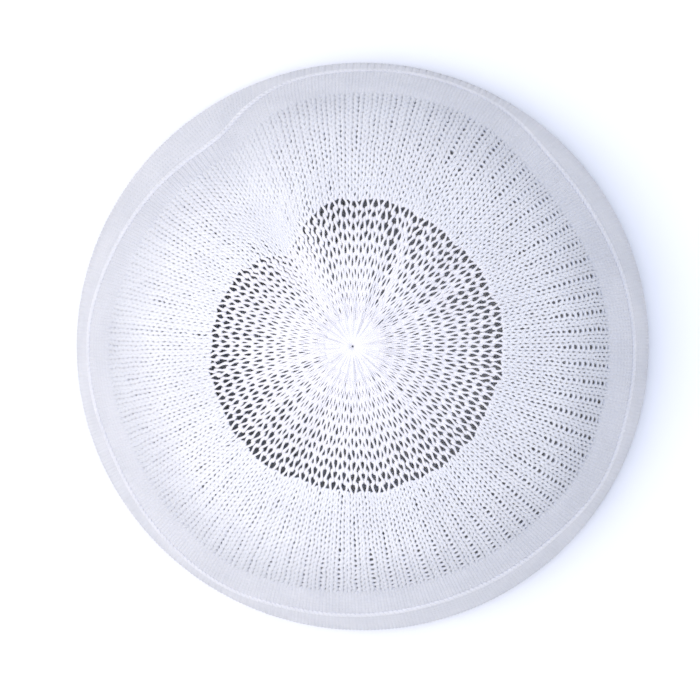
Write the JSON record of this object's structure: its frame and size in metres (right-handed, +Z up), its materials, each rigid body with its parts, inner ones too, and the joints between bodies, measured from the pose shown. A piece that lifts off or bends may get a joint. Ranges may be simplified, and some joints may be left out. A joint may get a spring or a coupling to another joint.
{
  "type": "kufi",
  "caption": "White machine-knitted kufi skull cap: open net crown drawn together in the middle, dense ladder-stitch side, fine band and a folded, linked hem that it stands on.",
  "frame": {"origin": "middle of the rim, at the level that the cap stands on", "axes": "+Z up through the middle of the crown; the pinch of the cloth lies about 123 degrees round from +X towards +Y"},
  "size_m": [0.1764, 0.1748, 0.079],
  "materials": {
    "gathered_yarn": "soft white knitting yarn, drawn together",
    "net_yarn": "soft white knitting yarn in an open net",
    "knit_yarn": "soft white knitting yarn in a dense ladder stitch",
    "band_yarn": "soft white knitting yarn in a fine plain stitch",
    "seam_yarn": "soft white yarn in raised, linked loops",
    "hem_yarn": "soft white knitting yarn in a fine plain stitch, folded double"
  },
  "bodies": {
    "root": {"crown_gather": "gathered_yarn", "crown_net": "net_yarn", "side_knit": "knit_yarn", "fine_band": "band_yarn", "linked_seam": "seam_yarn", "folded_hem": "hem_yarn"}
  },
  "joints": []
}
